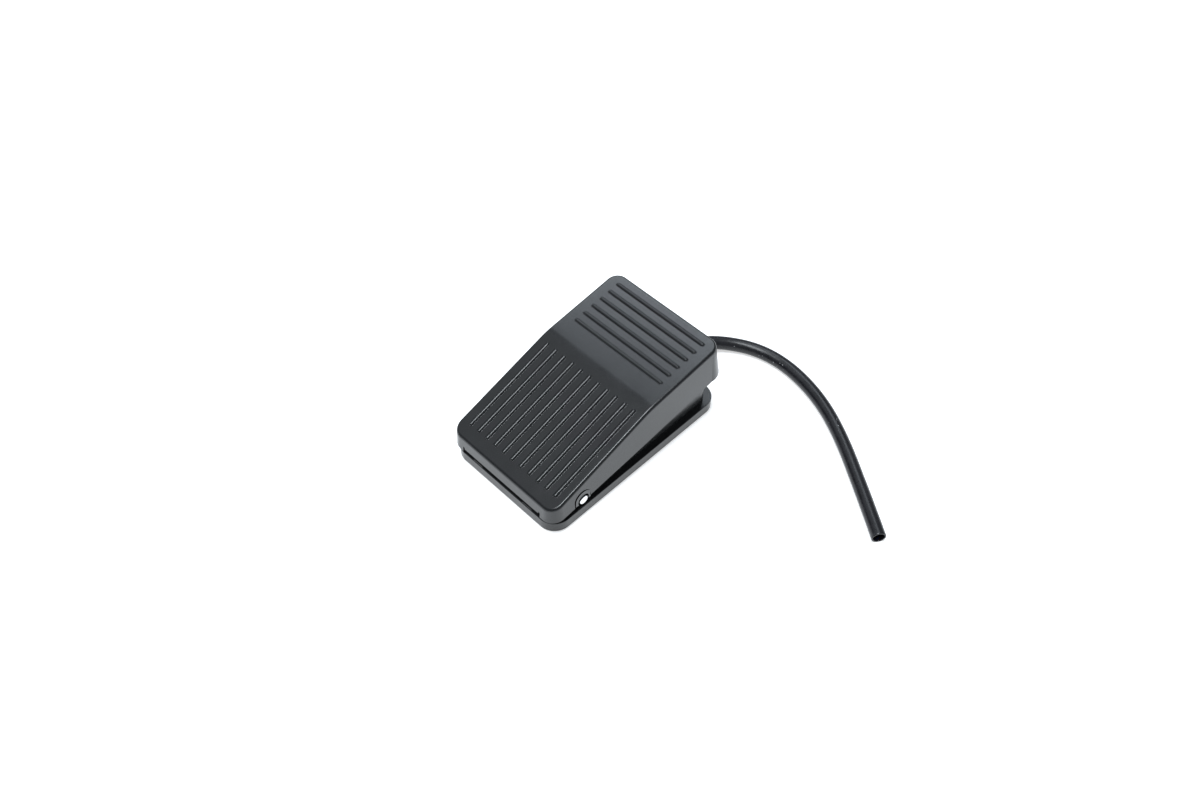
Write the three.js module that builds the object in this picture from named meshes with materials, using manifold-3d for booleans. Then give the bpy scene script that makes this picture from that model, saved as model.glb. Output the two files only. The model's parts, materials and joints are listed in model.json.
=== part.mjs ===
// A small foot switch of the kind used to run a sewing machine: a rocking cover on a flat base,
// hinged on a steel cross pin near its low end and held up by two coil springs. Pressing the
// cover pushes the plunger of a snap-action switch that stands inside on the base.
// Millimetres. +Z is up, +Y points to the high end where the cable leaves, z = 0 is the floor.

import * as THREE from 'three';
import { mergeVertices } from 'three/addons/utils/BufferGeometryUtils.js';
import Module from 'manifold-3d';

const wasm = await Module();
wasm.setup();

// ---- driving dimensions ----------------------------------------------------------------------

const GAP = 0.3;                       // space left between two pieces that touch
const ROOT = 0.5;                      // how far posts reach into the floor they stand on
const SIDES = [-1, 1];                 // left and right, or front and rear

// base
const BASE = { width: 61.4, length: 98, corner: 7.85, bottom: 0.6, floor: 2.6, rim: 5.9, edge: 0.3 };
const WALL = { halfWidth: 28, front: -43, rear: 43.6, corner: 3.5, thick: 1.8, lift: 3.2 };
const STOP = { x: 14.7, halfWidth: 2.7, front: -42, rear: -38.5 };
const RIM_PAD = { depth: 1.5, height: 0.7 };
const FEET = { x: 22, y: 39, radius: 5.5, recess: 1, round: 0.4 };

// cover
const COVER = { halfWidth: 30.2, front: -48.9, rear: 47.3, corner: 5.5, wall: 1.8, top: 2.2 };
const FILLET = 1.25;                   // round between the top face and the skirt
const DRAFT = { all: 0.068, rear: 0.105 }; // the skirt's flare for each mm of drop, and its extra at the rear
const CREASE = { y: 5, z: 33.65, lowSlope: 0.336, highSlope: 0.136, blend: 3 };
const SKIRT = { z: 15, slope: 0.152 };   // height of the skirt's lower edge at y = 0, and its slope
const RELIEF = { halfWidth: 22.9, lift: 1.9, slitWidth: 0.9, slitHeight: 1 };
const STIFFENER = { x: 10.6, halfThick: 0.6, depth: 3, front: -24, rear: 40 };

// grip ribs on the cover
const RIB = { radius: 1.02, sunk: 0.37, end: 1.02 };
const LONG_RIBS = { count: 11, pitch: 4.98, front: -43.4, rear: 1.9 };
const CROSS_RIBS = { count: 6, pitch: 4.945, lastY: 42.07, halfLength: 25 };

// hinge
const PIN = { y: -32.3, z: 10.25, radius: 2.1, hole: 2.5, halfLength: 30.75 };
const EAR_WINDOW = { y: -33.1, z: 12.4, radius: 4.25 };
const EAR = { y: -32.75, z: 12.1, radius: 4, face: 30.7, bottom: 9.6 };
const EAR_BORE = { y: -32.65, z: 11.1, radius: 2.9 };
const TONGUE = { inner: 28.4, outer: 29.3, margin: 0.8, bottom: 7 };
const HINGE_POST = { inner: 22.5, radius: 5 };

// microswitch, standing on its long edge along Y
const SWITCH = { length: 27.8, height: 15.9, thick: 10.3, bottom: 6.3, cover: 1.25 };
const CHAMBER = { halfLength: 8.2, wall: 1.5, depth: 3.4 };
const PLUNGER = { y: -5.5, radius: 1.2, flange: 2, top: 25.2, foot: 17.9, boss: 2.5 };
const BLADE = { pivotY: 6, rearY: 6.6, tipY: -7, z: 17.3, thick: 0.4, width: 3 };
const TERMINAL = { halfWidth: 1.5, halfThick: 0.3, bottom: 3.3, eye: 0.6, eyeRise: 1.4 };
const TERMINALS = {
  common: { y: 6, top: 16.4, lane: 0, colour: 0x202020 },
  normally_closed: { y: 0, top: 13, lane: 1.7, colour: 0x7a3b1e },
  normally_open: { y: -6, top: 13.8, lane: -1.7, colour: 0x1f3f8f },
};
const BRACKET = { inner: 5.45, outer: 8, top: 18, halfLength: 14.5 };
const SWITCH_SCREW = { head: 2.7, headHeight: 1.8, shank: 1.4, length: 12.6, hole: 1.7 };
const SWITCH_SCREWS = { front: { y: -11.1, z: 7.1 }, rear: { y: 11.1, z: 17.4 } };

// return springs
const SPRING = { x: 17, y: 24, mean: 4.1, wire: 0.45, turns: 6.5, base: 9, top: 27 };
const SPRING_SEAT = { radius: 5.5, lowSpigot: 3.2, lowLength: 4, highSpigot: 2.2, highLength: 3.5 };

// cable
const CABLE = { radius: 3.05, insideEnd: 33, axisZ: 7.2 };
const GROMMET = { neck: 4, hole: 4.3, flange: 5.2, collar: 4.6, tail: 3.9, inner: 40, outer: 46 };
const CLAMP = {
  y: 36.6, depth: 4, halfWidth: 10.5, seat: 5.6, arm: 3, saddle: 1.4, screwX: 7.6, post: 2.6, hole: 1.4,
};
const CLAMP_SCREW = { head: 2.5, headHeight: 1.7, shank: 1.1, length: 6.6 };
const WIRE = { radius: 0.6, drop: 0.8, lead: 4, land: 9 };

// The cable's centreline: out through the rear wall, down to the floor, and round in one long bend.
const CABLE_ROUTE = [
  [0, 46.3, 7.2], [0, 50, 7.1], [0.2, 54.5, 6.75], [1.4, 59.5, 6.1], [3.6, 64.5, 5.3],
  [6.6, 69.4, 4.5], [10.4, 73.8, 3.8], [15, 77.6, 3.3], [20.5, 80.8, 3.1], [27, 83.1, 3.05],
  [34, 84.2, 3.05], [41, 84.2, 3.05], [48, 83.3, 3.05], [55, 81.7, 3.05], [62, 79.4, 3.05],
  [69, 76.4, 3.05], [76, 72.7, 3.05], [83, 68.5, 3.05], [90, 63.9, 3.05], [97, 59, 3.05],
  [104, 54.1, 3.05], [111, 49.1, 3.05], [117, 44.8, 3.05], [121.9, 41.2, 3.05],
];

// ---- materials -------------------------------------------------------------------------------

const plastic = (color, roughness) => new THREE.MeshStandardMaterial({ color, roughness, metalness: 0 });
const metal = (color, roughness) => new THREE.MeshStandardMaterial({ color, roughness, metalness: 1 });

const MATERIALS = {
  shell: () => plastic(0x26282a, 0.45),
  phenolic: () => plastic(0x2f2b28, 0.5),
  button: () => plastic(0xa8322a, 0.4),
  clamp: () => plastic(0x1c1c1c, 0.5),
  rubber: () => plastic(0x141414, 0.85),
  jacket: () => plastic(0x1b1c1e, 0.55),
  steel: () => metal(0xd6d7d8, 0.25),
  springSteel: () => metal(0x9a9b9e, 0.3),
  brass: () => metal(0xc9a24a, 0.35),
  insulation: (color) => plastic(color, 0.5),
};

// ---- solids ----------------------------------------------------------------------------------

// A closed three.js geometry as a manifold solid.
function solid(geometry) {
  const bare = geometry.clone();
  for (const name of ['normal', 'uv', 'uv1']) {
    bare.deleteAttribute(name);
  }
  const merged = mergeVertices(bare, 1e-4);
  const mesh = new wasm.Mesh({
    numProp: 3,
    vertProperties: new Float32Array(merged.attributes.position.array),
    triVerts: new Uint32Array(merged.index.array),
  });
  return new wasm.Manifold(mesh);
}

// A manifold solid as a three.js geometry.
function geometryOf(body) {
  const mesh = body.getMesh();
  const geometry = new THREE.BufferGeometry();
  geometry.setAttribute('position', new THREE.BufferAttribute(new Float32Array(mesh.vertProperties), 3));
  geometry.setIndex(new THREE.BufferAttribute(new Uint32Array(mesh.triVerts), 1));
  geometry.computeVertexNormals();
  return geometry;
}

const span = (a, b) => [Math.min(a, b), Math.max(a, b)];
const joined = (first, ...rest) => rest.reduce((body, next) => body.add(next), first);
const cut = (first, ...rest) => rest.reduce((body, next) => body.subtract(next), first);

function box(low, high) {
  const size = high.map((value, i) => value - low[i]);
  const centre = high.map((value, i) => (value + low[i]) / 2);
  return solid(new THREE.BoxGeometry(...size).translate(...centre));
}

// A cylinder between two ends along X, Y or Z, through a point given in the other two axes.
function rod(axis, radius, start, end, [p, q], sides = 24) {
  const geometry = new THREE.CylinderGeometry(radius, radius, end - start, sides);
  const middle = (start + end) / 2;
  if (axis === 'x') {
    geometry.rotateZ(Math.PI / 2).translate(middle, p, q);
  } else if (axis === 'y') {
    geometry.translate(p, middle, q);
  } else {
    geometry.rotateX(Math.PI / 2).translate(p, q, middle);
  }
  return solid(geometry);
}

function roundedRect(halfWidth, front, rear, radius) {
  const shape = new THREE.Shape();
  const x = halfWidth - radius;
  shape.absarc(x, front + radius, radius, -Math.PI / 2, 0);
  shape.absarc(x, rear - radius, radius, 0, Math.PI / 2);
  shape.absarc(-x, rear - radius, radius, Math.PI / 2, Math.PI);
  shape.absarc(-x, front + radius, radius, Math.PI, Math.PI * 1.5);
  shape.closePath();
  return shape;
}

function slab(shape, bottom, top, curveSegments = 4) {
  const options = { depth: top - bottom, bevelEnabled: false, curveSegments };
  return solid(new THREE.ExtrudeGeometry(shape, options).translate(0, 0, bottom));
}

// An upright arch in the YZ plane, round at the top, extruded along X.
function arch(centre, radius, bottom, xLow, xHigh, curveSegments = 10) {
  const shape = new THREE.Shape();
  shape.moveTo(-radius, bottom);
  shape.lineTo(radius, bottom);
  shape.absarc(0, centre.z, radius, 0, Math.PI);
  shape.closePath();
  const options = { depth: xHigh - xLow, bevelEnabled: false, curveSegments };
  const geometry = new THREE.ExtrudeGeometry(shape, options);
  geometry.rotateX(Math.PI / 2).rotateZ(Math.PI / 2);
  return geometry.translate(xLow, centre.y, 0);
}

// A tube of round section along a centreline.
function tube(points, radius, sides, steps) {
  const path = new THREE.CatmullRomCurve3(points.map((p) => new THREE.Vector3(...p)));
  const section = new THREE.Shape();
  section.absarc(0, 0, radius, 0, Math.PI * 2);
  const options = { steps, bevelEnabled: false, extrudePath: path, curveSegments: sides / 2 };
  return new THREE.ExtrudeGeometry(section, options);
}

// Everything above a plane that rises along Y: z = z0 + slope * y.
function above(z0, slope) {
  const reach = 80;
  const geometry = new THREE.BoxGeometry(2 * reach, 2 * reach, reach);
  geometry.translate(0, 0, reach / 2).rotateX(Math.atan(slope)).translate(0, 0, z0);
  return solid(geometry);
}

// ---- the cover's surfaces --------------------------------------------------------------------

// Height of the cover's top face: two planes with a short blend where they meet.
function topHeight(y) {
  const t = y - CREASE.y;
  const half = CREASE.blend;
  const { lowSlope, highSlope } = CREASE;
  if (Math.abs(t) >= half) {
    return CREASE.z + t * (t < 0 ? lowSlope : highSlope);
  }
  const bend = (highSlope - lowSlope) / (4 * half);
  return CREASE.z + t * (lowSlope + highSlope) / 2 + bend * (t * t + half * half);
}

const skirtEdge = (y) => SKIRT.z + SKIRT.slope * y;
const ceilingHeight = (y) => topHeight(y) - COVER.top;

// Right half of the cover's outline, front to rear, each point with its outward direction.
function coverOutline() {
  const points = [];
  const steps = 6;
  const x = COVER.halfWidth - COVER.corner;
  const corner = (centreY, from) => {
    for (let i = 0; i <= steps; i += 1) {
      const angle = from + (Math.PI / 2) * (i / steps);
      const out = new THREE.Vector2(Math.cos(angle), Math.sin(angle));
      points.push({ at: out.clone().multiplyScalar(COVER.corner).add(new THREE.Vector2(x, centreY)), out });
    }
  };
  corner(COVER.front + COVER.corner, -Math.PI / 2);
  for (const t of [-1, -0.5, 0, 0.5, 1]) {
    const at = new THREE.Vector2(COVER.halfWidth, CREASE.y + t * CREASE.blend);
    points.push({ at, out: new THREE.Vector2(1, 0) });
  }
  corner(COVER.rear - COVER.corner, 0);
  return points;
}

// One level of the cover: the outline moved inwards, at a height given for each y.
function coverRing(outline, insetAt, heightAt) {
  const right = outline.map(({ at, out }) => {
    const moved = at.clone().addScaledVector(out, -insetAt(at.y, out));
    return new THREE.Vector3(moved.x, moved.y, heightAt(moved.y));
  });
  const left = right.map((p) => new THREE.Vector3(-p.x, p.y, p.z)).reverse();
  return [...right, ...left];
}

// A closed surface through rings of equal length, closed at both ends by strips across X.
function loft(rings) {
  const count = rings[0].length;
  const positions = rings.flatMap((ring) => ring.flatMap((p) => [p.x, p.y, p.z]));
  const index = [];
  const quad = (a, b, c, d) => index.push(a, b, c, a, c, d);
  for (let level = 0; level + 1 < rings.length; level += 1) {
    const low = level * count;
    for (let i = 0; i < count; i += 1) {
      const next = (i + 1) % count;
      quad(low + i, low + next, low + count + next, low + count + i);
    }
  }
  const last = (rings.length - 1) * count;
  for (let i = 0; i + 1 < count / 2; i += 1) {
    const mirror = count - 1 - i;
    quad(i, mirror, mirror - 1, i + 1);
    quad(last + i, last + i + 1, last + mirror - 1, last + mirror);
  }
  const geometry = new THREE.BufferGeometry();
  geometry.setAttribute('position', new THREE.Float32BufferAttribute(positions, 3));
  geometry.setIndex(index);
  return solid(geometry);
}

// The cover's empty shell, from the ceiling inside, round the skirt's edge, up to the top face.
function coverShell() {
  const outline = coverOutline();
  const skirtTop = (y) => topHeight(y) - FILLET;
  const draft = (out) => DRAFT.all + DRAFT.rear * Math.max(out.y, 0);
  const flare = (y, out) => draft(out) * (skirtTop(y) - skirtEdge(y));
  const rings = [
    coverRing(outline, () => COVER.wall, ceilingHeight),
    coverRing(outline, (y, out) => COVER.wall - flare(y, out), skirtEdge),
    coverRing(outline, (y, out) => -flare(y, out), skirtEdge),
  ];
  const steps = 4;
  for (let i = 0; i <= steps; i += 1) {
    const angle = (Math.PI / 2) * (i / steps);
    const inset = FILLET * (1 - Math.cos(angle));
    const drop = FILLET * (1 - Math.sin(angle));
    rings.push(coverRing(outline, () => inset, (y) => topHeight(y) - drop));
  }
  return loft(rings);
}

// ---- cover -----------------------------------------------------------------------------------

// A round-ended rib between two points of the top face, sunk so that only its crest stands proud.
function rib(start, end) {
  const along = end.clone().sub(start);
  const length = along.length() - 2 * RIB.end;
  const geometry = new THREE.CapsuleGeometry(RIB.radius, length, 2, 10);
  const turn = new THREE.Quaternion().setFromUnitVectors(new THREE.Vector3(0, 1, 0), along.normalize());
  const middle = start.clone().add(end).multiplyScalar(0.5);
  return solid(geometry.applyQuaternion(turn).translate(middle.x, middle.y, middle.z - RIB.sunk));
}

function gripRibs() {
  const surface = (x, y) => new THREE.Vector3(x, y, topHeight(y));
  const ribs = [];
  for (let i = 0; i < LONG_RIBS.count; i += 1) {
    const x = (i - (LONG_RIBS.count - 1) / 2) * LONG_RIBS.pitch;
    ribs.push(rib(surface(x, LONG_RIBS.front), surface(x, LONG_RIBS.rear)));
  }
  for (let i = 0; i < CROSS_RIBS.count; i += 1) {
    const y = CROSS_RIBS.lastY - i * CROSS_RIBS.pitch;
    ribs.push(rib(surface(-CROSS_RIBS.halfLength, y), surface(CROSS_RIBS.halfLength, y)));
  }
  return ribs;
}

// The tongue that carries the pin behind the arched window in the skirt, and the ear on it that
// fills the window, except for a groove along its front and top and a wide bore round the pin.
function pinEar(side) {
  const behind = span(side * TONGUE.inner, side * TONGUE.outer);
  const through = span(side * TONGUE.inner, side * EAR.face);
  const tongueRadius = EAR_WINDOW.radius + TONGUE.margin;
  const tongue = solid(arch(EAR_WINDOW, tongueRadius, TONGUE.bottom, ...behind));
  const ear = solid(arch(EAR, EAR.radius, EAR.bottom, ...through));
  return tongue.add(ear);
}

function earWindow(side) {
  return solid(arch(EAR_WINDOW, EAR_WINDOW.radius, 0, ...span(side * TONGUE.outer, side * BASE.width)));
}

function earBore(side) {
  const bounds = span(side * TONGUE.outer, side * BASE.width);
  return rod('x', EAR_BORE.radius, ...bounds, [EAR_BORE.y, EAR_BORE.z]);
}

// The front skirt is raised between two slits, so the cover clears the pads on the rim.
function frontRelief() {
  const { halfWidth, lift, slitWidth, slitHeight } = RELIEF;
  const front = COVER.front - COVER.wall;
  const rear = COVER.front + COVER.wall + 1;
  const edge = skirtEdge(COVER.front) + lift;
  const slits = SIDES.map((side) => {
    const [low, high] = span(side * halfWidth, side * (halfWidth - slitWidth));
    return box([low, front, 0], [high, rear, edge + slitHeight]);
  });
  return [box([-halfWidth, front, 0], [halfWidth, rear, edge]), ...slits];
}

// Seats and spigots for the springs, and the boss that presses the switch.
function coverBosses() {
  const springCeiling = ceilingHeight(SPRING.y) + 1;
  const { radius, highSpigot, highLength } = SPRING_SEAT;
  const seats = SIDES.flatMap((side) => {
    const at = [side * SPRING.x, SPRING.y];
    return [
      rod('z', radius, SPRING.top, springCeiling, at),
      rod('z', highSpigot, SPRING.top - highLength, springCeiling, at, 16),
    ];
  });
  const pressBoss = rod('z', PLUNGER.boss, PLUNGER.top + GAP, ceilingHeight(PLUNGER.y) + 1, [0, PLUNGER.y]);
  return [...seats, pressBoss];
}

// Two ribs under the top face, running lengthwise.
function stiffeners() {
  const { x, halfThick, depth, front, rear } = STIFFENER;
  const inset = () => COVER.wall;
  const roof = loft([
    coverRing(coverOutline(), inset, (y) => ceilingHeight(y) - depth),
    coverRing(coverOutline(), inset, (y) => ceilingHeight(y) + 1),
  ]);
  return SIDES.map((side) => {
    const middle = side * x;
    const bar = box([middle - halfThick, front, 0], [middle + halfThick, rear, BASE.length]);
    return bar.intersect(roof);
  });
}

function pedalCover() {
  const shell = cut(coverShell(), ...SIDES.map(earWindow), ...frontRelief());
  const body = joined(shell, ...SIDES.map(pinEar), ...coverBosses(), ...stiffeners(), ...gripRibs());
  const pinHole = rod('x', PIN.hole, -BASE.width, BASE.width, [PIN.y, PIN.z]);
  return cut(body, pinHole, ...SIDES.map(earBore));
}

// ---- base ------------------------------------------------------------------------------------

function baseSlab() {
  const { width, length, corner, bottom, rim, edge } = BASE;
  const shape = roundedRect(width / 2 - edge, -length / 2 + edge, length / 2 - edge, corner - edge);
  const options = {
    depth: rim - bottom - 2 * edge,
    bevelThickness: edge,
    bevelSize: edge,
    bevelSegments: 2,
    curveSegments: 10,
  };
  return solid(new THREE.ExtrudeGeometry(shape, options).translate(0, 0, bottom + edge));
}

// The wall that stands up from the floor inside the cover's skirt.
function uprightWall() {
  const { halfWidth, front, rear, corner, lift } = WALL;
  const block = slab(roundedRect(halfWidth, front, rear, corner), BASE.rim - ROOT, BASE.width);
  return block.subtract(above(skirtEdge(0) + lift, SKIRT.slope));
}

function baseCavity() {
  const { halfWidth, front, rear, corner, thick } = WALL;
  const shape = roundedRect(halfWidth - thick, front + thick, rear - thick, corner - thick);
  return slab(shape, BASE.floor, BASE.width);
}

// Posts inside the upright wall that hold the pin.
function hingePosts() {
  return SIDES.map((side) => {
    const bounds = span(side * HINGE_POST.inner, side * WALL.halfWidth);
    return solid(arch(PIN, HINGE_POST.radius, BASE.floor - ROOT, ...bounds));
  });
}

// Posts on which the cover's front rests when it is up, and the pads on the rim in front of them.
function frontStops() {
  const rimFront = BASE.edge - BASE.length / 2;
  const ceiling = above(ceilingHeight(STOP.front) - STOP.front * CREASE.lowSlope - GAP, CREASE.lowSlope);
  return SIDES.flatMap((side) => {
    const low = side * STOP.x - STOP.halfWidth;
    const high = side * STOP.x + STOP.halfWidth;
    const post = box([low, STOP.front, BASE.floor - ROOT], [high, STOP.rear, CREASE.z]);
    const padTop = BASE.rim + RIM_PAD.height;
    const pad = box([low, rimFront, BASE.rim - ROOT], [high, rimFront + RIM_PAD.depth, padTop]);
    return [post.subtract(ceiling), pad];
  });
}

function springPosts() {
  const { radius, lowSpigot, lowLength } = SPRING_SEAT;
  return SIDES.flatMap((side) => {
    const at = [side * SPRING.x, SPRING.y];
    return [
      rod('z', radius, BASE.floor - ROOT, SPRING.base, at),
      rod('z', lowSpigot, BASE.floor - ROOT, SPRING.base + lowLength, at, 16),
    ];
  });
}

function clampPosts() {
  return SIDES.map((side) => {
    const at = [side * CLAMP.screwX, CLAMP.y];
    return rod('z', CLAMP.post, BASE.floor - ROOT, CLAMP.seat, at, 16);
  });
}

const switchBracket = () => box(
  [BRACKET.inner, -BRACKET.halfLength, BASE.floor - ROOT],
  [BRACKET.outer, BRACKET.halfLength, BRACKET.top],
);

function footRecesses() {
  const places = SIDES.flatMap((sx) => SIDES.map((sy) => [sx * FEET.x, sy * FEET.y]));
  return places.map((at) => rod('z', FEET.radius + GAP, 0, BASE.bottom + FEET.recess, at));
}

// Openings for the cable's grommet in the rear wall, the base's rear edge and the floor.
function grommetHoles() {
  const { hole, collar, flange, inner } = GROMMET;
  const innerFace = WALL.rear - WALL.thick;
  const at = [0, CABLE.axisZ];
  return [
    rod('y', hole, innerFace - 1, WALL.rear + 1, at),
    rod('y', collar + GAP, WALL.rear, BASE.length, at),
    rod('y', flange + GAP, inner - GAP, innerFace, at),
  ];
}

function screwHoles() {
  const { hole } = SWITCH_SCREW;
  const switchHoles = Object.values(SWITCH_SCREWS)
    .map(({ y, z }) => rod('x', hole, BRACKET.inner - 1, BRACKET.outer + 1, [y, z], 16));
  const clampHoles = SIDES
    .map((side) => rod('z', CLAMP.hole, BASE.floor, CLAMP.seat + 1, [side * CLAMP.screwX, CLAMP.y], 16));
  return [...switchHoles, ...clampHoles];
}

function baseHoles() {
  const pinHoles = rod('x', PIN.hole, -BASE.width, BASE.width, [PIN.y, PIN.z]);
  return [pinHoles, ...grommetHoles(), ...screwHoles(), ...footRecesses()];
}

function baseTray() {
  const shell = joined(baseSlab(), uprightWall()).subtract(baseCavity());
  const fittings = [...hingePosts(), ...frontStops(), ...springPosts(), ...clampPosts(), switchBracket()];
  return cut(joined(shell, ...fittings), ...baseHoles());
}

// ---- metalwork -------------------------------------------------------------------------------

function hingePin() {
  const chamfer = 0.4;
  const { radius, halfLength } = PIN;
  const profile = [
    [0, -halfLength], [radius - chamfer, -halfLength], [radius, chamfer - halfLength],
    [radius, halfLength - chamfer], [radius - chamfer, halfLength], [0, halfLength],
  ].map(([r, h]) => new THREE.Vector2(r, h));
  return new THREE.LatheGeometry(profile, 24).rotateZ(Math.PI / 2).translate(0, PIN.y, PIN.z);
}

function returnSpring(side) {
  const { mean, wire, turns, base, top } = SPRING;
  const low = base + GAP + wire;
  const high = top - GAP - wire;
  class Helix extends THREE.Curve {
    getPoint(t, target = new THREE.Vector3()) {
      const angle = 2 * Math.PI * turns * t;
      return target.set(mean * Math.cos(angle), mean * Math.sin(angle), low + (high - low) * t);
    }
  }
  const section = new THREE.Shape();
  section.absarc(0, 0, wire, 0, Math.PI * 2);
  const options = {
    steps: 12 * Math.ceil(turns),
    bevelEnabled: false,
    extrudePath: new Helix(),
    curveSegments: 3,
  };
  return new THREE.ExtrudeGeometry(section, options).translate(side * SPRING.x, SPRING.y, 0);
}

// A cross-head screw along Y: the head from 0 upwards, the shank downwards.
function screw({ head, headHeight, shank, length }) {
  const tip = 0.8;
  const profile = [
    [0, -length], [shank * 0.6, -length], [shank, tip - length], [shank, 0], [head, 0],
    [head, headHeight / 2], [head * 0.7, headHeight], [0, headHeight],
  ].map(([r, h]) => new THREE.Vector2(r, h));
  const body = solid(new THREE.LatheGeometry(profile, 20));
  const halfWidth = 0.35;
  const halfLength = head * 0.65;
  const bottom = headHeight - 0.8;
  const top = headHeight + 1;
  return geometryOf(cut(
    body,
    box([-halfWidth, bottom, -halfLength], [halfWidth, top, halfLength]),
    box([-halfLength, bottom, -halfWidth], [halfLength, top, halfWidth]),
  ));
}

function switchScrew({ y, z }) {
  const seat = -SWITCH.thick / 2 - GAP;
  return screw(SWITCH_SCREW).rotateZ(Math.PI / 2).translate(seat, y, z);
}

function clampScrew(side) {
  const seat = CLAMP.seat + GAP + CLAMP.arm + GAP;
  return screw(CLAMP_SCREW).rotateX(Math.PI / 2).translate(side * CLAMP.screwX, CLAMP.y, seat);
}

// ---- microswitch -----------------------------------------------------------------------------

const SWITCH_TOP = SWITCH.bottom + SWITCH.height;
const SWITCH_HALF = { length: SWITCH.length / 2, thick: SWITCH.thick / 2 };
const SPLIT_X = SWITCH.cover - SWITCH_HALF.thick;

function switchScrewHoles() {
  return Object.values(SWITCH_SCREWS)
    .map(({ y, z }) => rod('x', SWITCH_SCREW.hole, -SWITCH.thick, SWITCH.thick, [y, z], 16));
}

function terminalSlot({ y }) {
  const halfThick = TERMINAL.halfThick + GAP;
  const halfWidth = TERMINAL.halfWidth + GAP;
  return box(
    [-halfThick, y - halfWidth, SWITCH.bottom - 1],
    [halfThick, y + halfWidth, SWITCH.bottom + CHAMBER.wall + 1],
  );
}

function microswitchCase() {
  const { halfLength, wall, depth } = CHAMBER;
  const { length, thick } = SWITCH_HALF;
  const body = box([SPLIT_X + GAP, -length, SWITCH.bottom], [thick, length, SWITCH_TOP]);
  const chamber = box([-thick, -halfLength, SWITCH.bottom + wall], [depth, halfLength, SWITCH_TOP - wall]);
  const plungerHole = rod('z', PLUNGER.radius + GAP, SWITCH_TOP - wall - 1, SWITCH_TOP + 1, [0, PLUNGER.y]);
  const slots = Object.values(TERMINALS).map(terminalSlot);
  return cut(body, chamber, plungerHole, ...slots, ...switchScrewHoles());
}

function microswitchCover() {
  const { length, thick } = SWITCH_HALF;
  return cut(box([-thick, -length, SWITCH.bottom], [SPLIT_X, length, SWITCH_TOP]), ...switchScrewHoles());
}

function microswitchPlunger() {
  const { radius, flange, foot, top, y } = PLUNGER;
  const profile = [
    [0, foot], [radius / 2, foot], [flange, foot + 0.9], [flange, foot + 1.5], [radius, foot + 1.5],
    [radius, top - 0.6], [radius * 0.7, top - 0.1], [0, top],
  ].map(([r, h]) => new THREE.Vector2(r, h));
  return new THREE.LatheGeometry(profile, 16).rotateX(Math.PI / 2).translate(0, y, 0);
}

function snapBlade() {
  const { tipY, rearY, z } = BLADE;
  const halfWidth = BLADE.width / 2;
  const halfThick = BLADE.thick / 2;
  return box([-halfWidth, tipY, z - halfThick], [halfWidth, rearY, z + halfThick]);
}

function terminal({ y, top }) {
  const { halfWidth, halfThick, bottom, eye, eyeRise } = TERMINAL;
  const strip = box([-halfThick, y - halfWidth, bottom], [halfThick, y + halfWidth, top]);
  return strip.subtract(rod('x', eye, -1, 1, [y, bottom + eyeRise], 12));
}

// ---- cable and its fittings ------------------------------------------------------------------

function turnedAlongY(profile, sides) {
  const points = profile.map(([r, y]) => new THREE.Vector2(r, y));
  return new THREE.LatheGeometry(points, sides).translate(0, 0, CABLE.axisZ);
}

function cableGrommet() {
  const { neck, flange, collar, tail, inner, outer } = GROMMET;
  const wallInner = WALL.rear - WALL.thick - GAP;
  const wallOuter = WALL.rear + GAP;
  return turnedAlongY([
    [0, inner], [flange, inner], [flange, wallInner], [neck, wallInner],
    [neck, wallOuter], [collar, wallOuter], [tail, outer], [0, outer],
  ], 24);
}

function cableJacketInside() {
  const end = GROMMET.inner - GAP;
  return turnedAlongY([
    [0, CABLE.insideEnd], [CABLE.radius, CABLE.insideEnd], [CABLE.radius, end], [0, end],
  ], 16);
}

// The lead from the collar to its cut end, lying on the floor for most of its length.
const freeCable = () => tube(CABLE_ROUTE, CABLE.radius, 12, 60);

// A bar with a saddle over the jacket, screwed down on two posts.
function cableClamp() {
  const { y, depth, halfWidth, seat, arm, saddle, screwX, hole } = CLAMP;
  const front = y - depth / 2;
  const rear = y + depth / 2;
  const bottom = seat + GAP;
  const top = CABLE.axisZ + CABLE.radius + GAP + saddle;
  const axis = [0, CABLE.axisZ];
  const bar = box([-halfWidth, front, bottom], [halfWidth, rear, bottom + arm]);
  const saddleRod = rod('y', CABLE.radius + GAP + saddle, front, rear, axis);
  const upper = saddleRod.intersect(box([-halfWidth, front, bottom], [halfWidth, rear, top]));
  const bed = rod('y', CABLE.radius + GAP, front - 1, rear + 1, axis);
  const holes = SIDES.map((side) => rod('z', hole, 0, top, [side * screwX, y], 16));
  return cut(joined(bar, upper), bed, ...holes);
}

// Each core drops to the floor of the tray and runs along it to the foot of its terminal.
function wire({ y, lane }) {
  const { radius, drop, lead, land } = WIRE;
  const start = CABLE.insideEnd - GAP;
  const edge = y + TERMINAL.halfWidth;
  const foot = TERMINAL.bottom + radius;
  return tube([
    [lane * 0.75, start, CABLE.axisZ], [lane * 0.8, start - lead, CABLE.axisZ - drop],
    [lane, start - land, foot + GAP], [lane, edge + 6, foot], [lane, edge + 3, foot],
    [lane * 0.3, edge + 2 * GAP, foot],
  ], radius, 8, 24);
}

function rubberFoot(sx, sy) {
  const top = BASE.bottom + FEET.recess - GAP;
  const { radius, round } = FEET;
  const profile = [[0, 0], [radius - round, 0], [radius, round], [radius, top], [0, top]];
  const points = profile.map(([r, z]) => new THREE.Vector2(r, z));
  return new THREE.LatheGeometry(points, 24).rotateX(Math.PI / 2).translate(sx * FEET.x, sy * FEET.y, 0);
}

// ---- assembly --------------------------------------------------------------------------------

const pedal = new THREE.Group();

function place(name, shape, material) {
  const geometry = shape.isBufferGeometry ? shape : geometryOf(shape);
  const mesh = new THREE.Mesh(geometry, material);
  mesh.name = name;
  pedal.add(mesh);
}

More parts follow.
